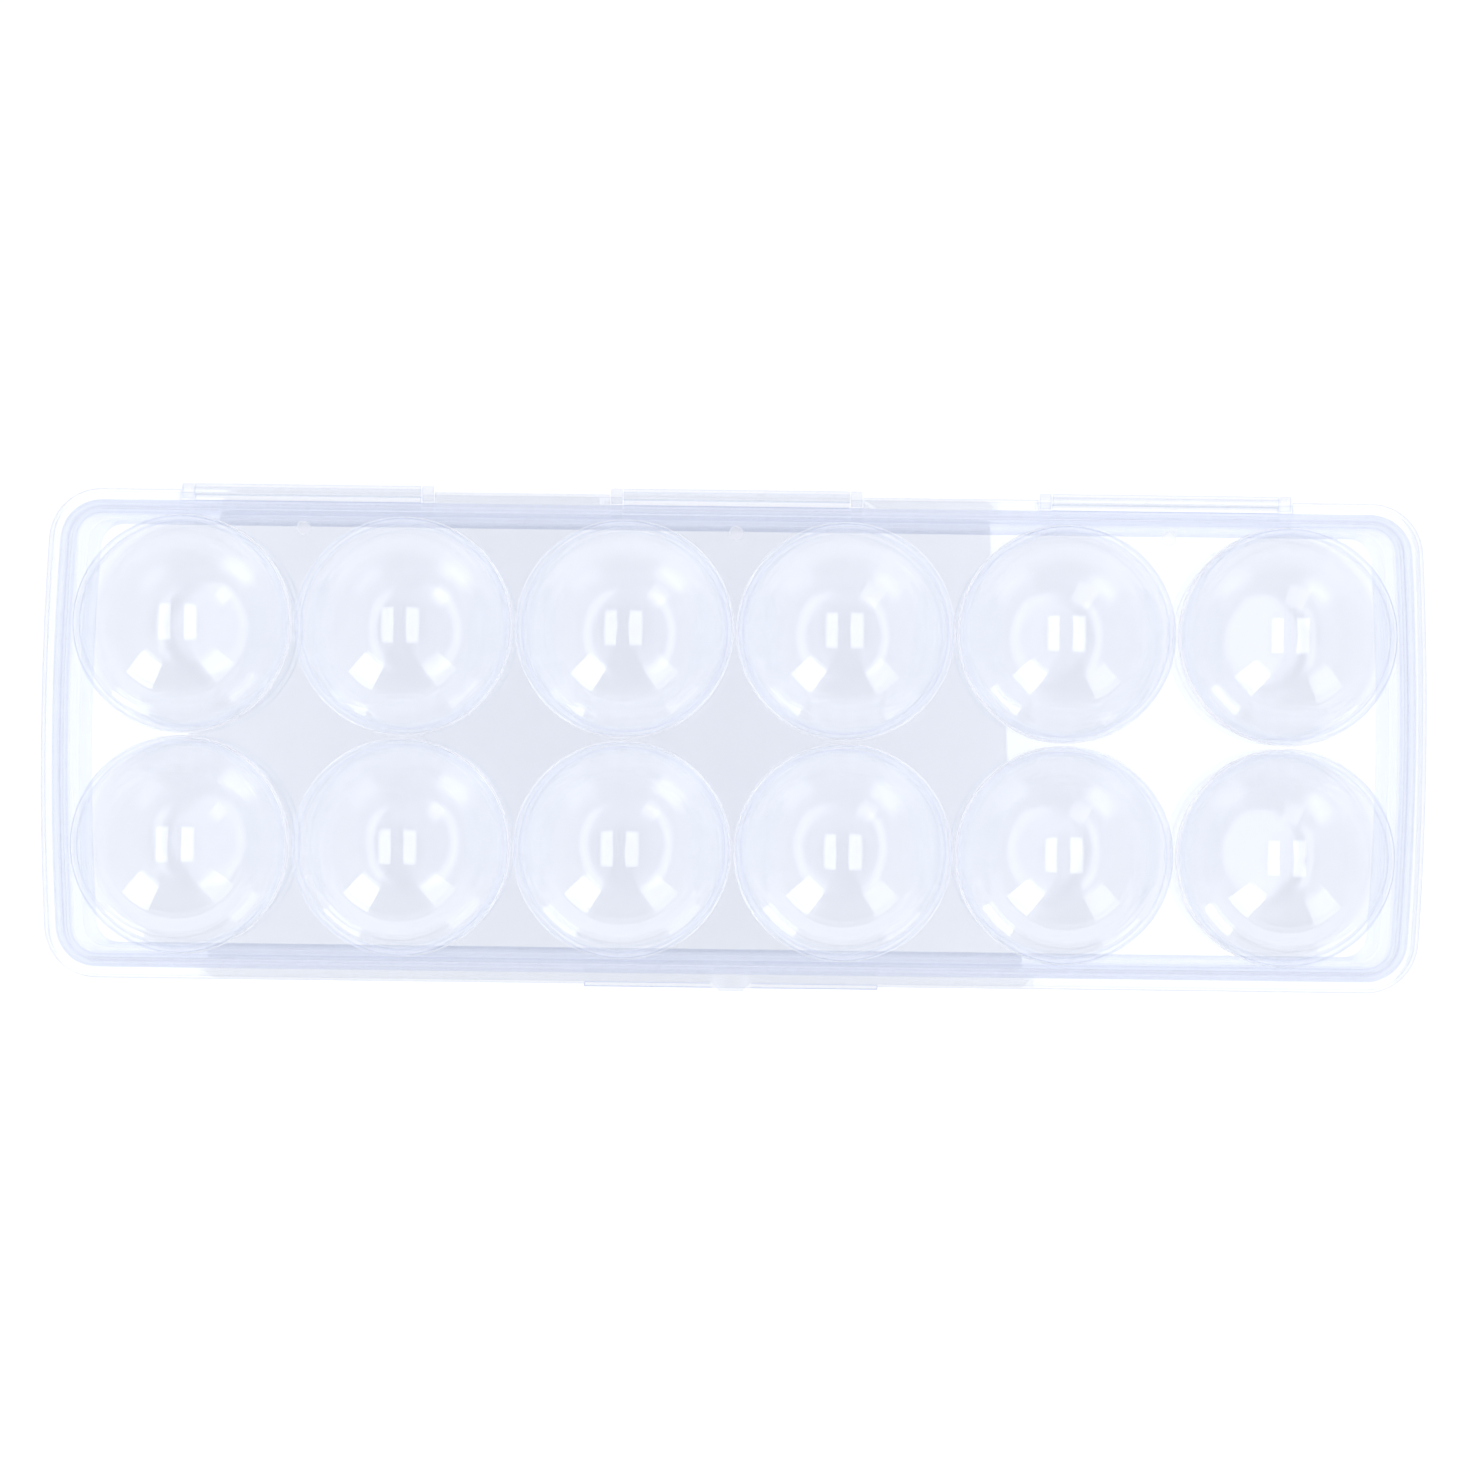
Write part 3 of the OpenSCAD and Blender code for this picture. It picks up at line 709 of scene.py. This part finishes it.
white_table()
KEEPER = (0, 0, 0.05)
CEILING_Y, CEILING_Z, CEILING_LENGTH = 0.05, 2.44, 1.78
for side, x, width, radiance in (("left", -0.72, 0.6, 2.5), ("right", 0.5575, 0.645, 2.4)):
    panel_light("ceiling_" + side, (x, CEILING_Y, CEILING_Z), (width, CEILING_LENGTH),
                (x, CEILING_Y, 0), radiance)
panel_light("window_front_left", around(230, 22, 1.9), (0.82, 1.25), KEEPER, 2.8)
panel_light("window_front_right", around(310, 22, 1.9), (0.82, 1.2), KEEPER, 1.3)
panel_light("lamp_back_right", (0.135, 0.185, 0.21), (0.09, 0.11), KEEPER, 1.2, (1.0, 0.93, 0.95))

# %% The room
world = bpy.data.worlds.new("studio")
bpy.context.scene.world = world
world.use_nodes = True
room = world.node_tree
way = node(room, "ShaderNodeTexCoord").outputs["Generated"]
toward = node(room, "ShaderNodeSeparateXYZ", {"Vector": way}).outputs
# Dark within 14 degrees of straight up, light from 37 degrees on
height = node(room, "ShaderNodeMapRange", {"Value": toward["Z"], "From Min": 0.97, "From Max": 0.80,
                                           "To Min": 0.08, "To Max": 0.78})
# Dark in a wedge ahead, where |x| is less than about half of -y
sideways = node(room, "ShaderNodeMath", {0: toward["X"]}, operation="ABSOLUTE")
forward = node(room, "ShaderNodeMath", {0: toward["Y"], 1: -1.0}, operation="MULTIPLY")
ahead = node(room, "ShaderNodeMath", {0: forward.outputs[0], 1: 0.001}, operation="MAXIMUM")
ratio = node(room, "ShaderNodeMath", {0: sideways.outputs[0], 1: ahead.outputs[0]}, operation="DIVIDE")
wedge = node(room, "ShaderNodeMapRange", {"Value": ratio.outputs[0], "From Min": 0.42, "From Max": 0.6,
                                          "To Min": 0.02, "To Max": 1.0})
level = node(room, "ShaderNodeMath", {0: height.outputs[0], 1: wedge.outputs[0]}, operation="MULTIPLY")
background = room.nodes["Background"]
background.inputs["Color"].default_value = (0.95, 0.97, 1.0, 1)
room.links.new(level.outputs[0], background.inputs["Strength"])

# %% [markdown]
# ## The camera
# The photograph looks straight down from about 0.9 m above the lid, turned by 0.7 degrees. The place
# and the lens were fitted so that the rim, the tabs and the domes fall where they do in the photograph.

# %% Camera
camera_data = bpy.data.cameras.new("camera")
camera_data.lens = 97.4
camera_data.sensor_width = 36.0
camera = bpy.data.objects.new("camera", camera_data)
bpy.context.collection.objects.link(camera)
camera.location = (0.00027, 0.0012, 0.942)
camera.rotation_euler = (0, 0, math.radians(0.72))
bpy.context.scene.camera = camera
bpy.context.scene.view_settings.view_transform = "Standard"
# A ray crosses many clear skins on its way, more than the usual 8
bpy.context.scene.cycles.transparent_max_bounces = 32
